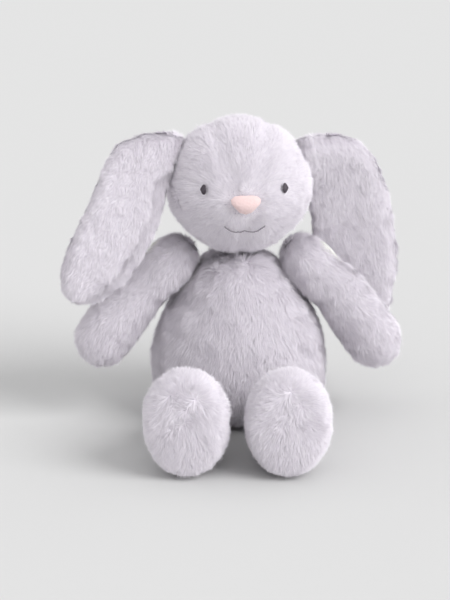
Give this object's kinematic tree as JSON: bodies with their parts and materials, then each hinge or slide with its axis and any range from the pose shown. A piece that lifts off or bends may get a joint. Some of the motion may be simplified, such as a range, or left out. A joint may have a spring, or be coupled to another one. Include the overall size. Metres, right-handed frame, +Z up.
{
  "type": "stuffed bunny rabbit",
  "caption": "Sitting lop-eared plush bunny with floppy folded ears, nodding head and swinging arms and legs; bean-weighted seat.",
  "frame": {"origin": "on the floor under the middle of the toy's outline as it sits", "axes": "+Z up; the toy faces -Y; its own left side is at +X"},
  "size_m": [0.2194, 0.2148, 0.1973],
  "materials": {
    "lilac_grey_pile": "long brushed plush pile, lilac grey",
    "ear_pile": "plush pile, lilac grey, laid along the ear",
    "polyester_filling": "loose polyester fibre",
    "pouch_cotton": "plain-woven cotton",
    "plastic_pellets": "small translucent pellets, taken as one mass",
    "charcoal_thread": "satin-stitched embroidery thread",
    "pink_velour": "short-piled velour, pale pink",
    "grey_thread": "stem-stitched embroidery thread"
  },
  "bodies": {
    "torso": {"pouch_lower_cover": "pouch_cotton", "pouch_pellets": "plastic_pellets", "pouch_upper_cover": "pouch_cotton", "tail_cover": "lilac_grey_pile", "tail_filling": "polyester_filling", "torso_back_left_panel": "lilac_grey_pile", "torso_back_right_panel": "lilac_grey_pile", "torso_base_panel": "lilac_grey_pile", "torso_filling": "polyester_filling", "torso_front_panel": "lilac_grey_pile"},
    "head": {"eye_left_stitching": "charcoal_thread", "eye_right_stitching": "charcoal_thread", "head_filling": "polyester_filling", "head_gusset_panel": "lilac_grey_pile", "head_left_panel": "lilac_grey_pile", "head_right_panel": "lilac_grey_pile", "mouth_stitching": "grey_thread", "nose_patch": "pink_velour"},
    "ear_right": {"ear_right_inner_panel": "ear_pile", "ear_right_outer_panel": "ear_pile"},
    "ear_left": {"ear_left_inner_panel": "ear_pile", "ear_left_outer_panel": "ear_pile"},
    "arm_right": {"arm_right_back_panel": "lilac_grey_pile", "arm_right_filling": "polyester_filling", "arm_right_front_panel": "lilac_grey_pile"},
    "arm_left": {"arm_left_back_panel": "lilac_grey_pile", "arm_left_filling": "polyester_filling", "arm_left_front_panel": "lilac_grey_pile"},
    "leg_right": {"leg_right_filling": "polyester_filling", "leg_right_sole_panel": "lilac_grey_pile", "leg_right_top_panel": "lilac_grey_pile", "leg_right_under_panel": "lilac_grey_pile"},
    "leg_left": {"leg_left_filling": "polyester_filling", "leg_left_sole_panel": "lilac_grey_pile", "leg_left_top_panel": "lilac_grey_pile", "leg_left_under_panel": "lilac_grey_pile"}
  },
  "joints": [
    {"name": "neck_nod", "type": "hinge", "parent": "torso", "child": "head", "pos_m": [0.00265, 0.02644, 0.1305], "axis": [0.9962, 0.0872, 0], "range_deg": [-5, 8], "stiffness_Nm_per_rad": 0.15},
    {"name": "ear_right_lift", "type": "hinge", "parent": "head", "child": "ear_right", "pos_m": [-0.04616, 0.02217, 0.18278], "axis": [-0.0872, 0.9962, 0], "range_deg": [0, 80]},
    {"name": "ear_left_lift", "type": "hinge", "parent": "head", "child": "ear_left", "pos_m": [0.05341, 0.03088, 0.1794], "axis": [0.0872, -0.9962, 0], "range_deg": [0, 80]},
    {"name": "arm_right_raise", "type": "hinge", "parent": "torso", "child": "arm_right", "pos_m": [-0.04639, 0.0259, 0.10466], "axis": [0, 1, 0], "range_deg": [0, 60]},
    {"name": "arm_left_raise", "type": "hinge", "parent": "torso", "child": "arm_left", "pos_m": [0.05169, 0.0259, 0.10466], "axis": [0, -1, 0], "range_deg": [0, 60]},
    {"name": "leg_right_raise", "type": "hinge", "parent": "torso", "child": "leg_right", "pos_m": [-0.02585, -0.03535, 0.02], "axis": [-1, 0, 0], "range_deg": [0, 40]},
    {"name": "leg_left_raise", "type": "hinge", "parent": "torso", "child": "leg_left", "pos_m": [0.03115, -0.03535, 0.02], "axis": [-1, 0, 0], "range_deg": [0, 40]}
  ]
}
